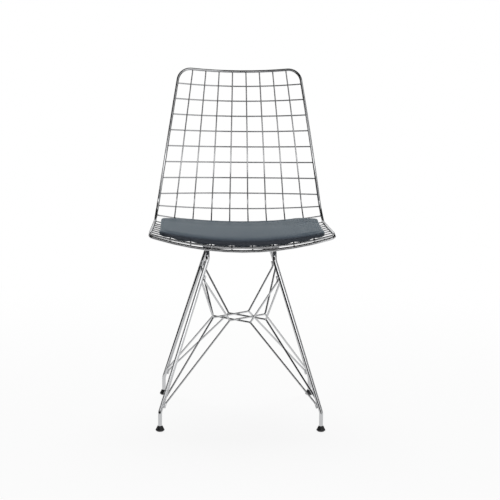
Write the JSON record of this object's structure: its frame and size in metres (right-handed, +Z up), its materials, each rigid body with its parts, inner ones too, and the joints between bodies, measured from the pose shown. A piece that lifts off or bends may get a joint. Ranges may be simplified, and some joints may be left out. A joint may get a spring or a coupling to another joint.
{
  "type": "wire mesh chair",
  "caption": "Chromed wire mesh side chair: dished mesh seat and back inside a rim rod, braced wire base with splayed legs, loose thin seat pad.",
  "frame": {"origin": "on the floor, in the middle of the four feet, which is the middle of the chair's box to within 3 mm", "axes": "+X to the right as seen from the front, +Y from the front edge of the seat towards the back, +Z up"},
  "size_m": [0.4568, 0.4421, 0.8918],
  "materials": {
    "chromed_steel": "polished chrome on steel rod",
    "foot_plastic": "black moulded plastic",
    "washer_rubber": "black rubber",
    "screw_steel": "zinc plated steel",
    "pad_leatherette": "dark grey leatherette with a soft sheen",
    "pad_foam": "cut foam sheet"
  },
  "bodies": {
    "chair_frame": {"back_cross_wire_1": "chromed_steel", "back_cross_wire_2": "chromed_steel", "back_cross_wire_3": "chromed_steel", "back_cross_wire_4": "chromed_steel", "back_cross_wire_5": "chromed_steel", "back_cross_wire_6": "chromed_steel", "back_cross_wire_7": "chromed_steel", "back_cross_wire_8": "chromed_steel", "back_cross_wire_9": "chromed_steel", "front_cross_bar": "chromed_steel", "front_cross_rod": "chromed_steel", "front_left_foot": "foot_plastic", "front_right_foot": "foot_plastic", "front_seat_strap": "chromed_steel", "left_side_frame": "chromed_steel", "long_wire_1": "chromed_steel", "long_wire_2": "chromed_steel", "long_wire_3": "chromed_steel", "long_wire_4": "chromed_steel", "long_wire_5": "chromed_steel", "long_wire_6": "chromed_steel", "long_wire_7": "chromed_steel", "long_wire_8": "chromed_steel", "lower_brace_front": "chromed_steel", "lower_brace_rear": "chromed_steel", "mount_screws": "screw_steel", "rear_cross_bar": "chromed_steel", "rear_left_foot": "foot_plastic", "rear_right_foot": "foot_plastic", "rear_seat_strap": "chromed_steel", "right_side_frame": "chromed_steel", "rim": "chromed_steel", "rubber_washers": "washer_rubber", "seat_cross_wire_1": "chromed_steel", "seat_cross_wire_2": "chromed_steel", "seat_cross_wire_3": "chromed_steel", "seat_cross_wire_4": "chromed_steel", "seat_cross_wire_5": "chromed_steel", "seat_cross_wire_6": "chromed_steel", "seat_cross_wire_7": "chromed_steel", "seat_cross_wire_8": "chromed_steel", "strap_bosses": "chromed_steel", "strut_1": "chromed_steel", "strut_2": "chromed_steel", "strut_3": "chromed_steel", "strut_4": "chromed_steel", "strut_5": "chromed_steel", "strut_6": "chromed_steel", "strut_7": "chromed_steel", "strut_8": "chromed_steel", "upper_brace_left": "chromed_steel", "upper_brace_right": "chromed_steel"},
    "seat_pad": {"seat_pad_cover": "pad_leatherette", "seat_pad_foam": "pad_foam"}
  },
  "joints": [
    {"name": "pad_lift", "type": "slide", "parent": "chair_frame", "child": "seat_pad", "axis": [0, 0, 1], "range_m": [0, 0.12]}
  ]
}
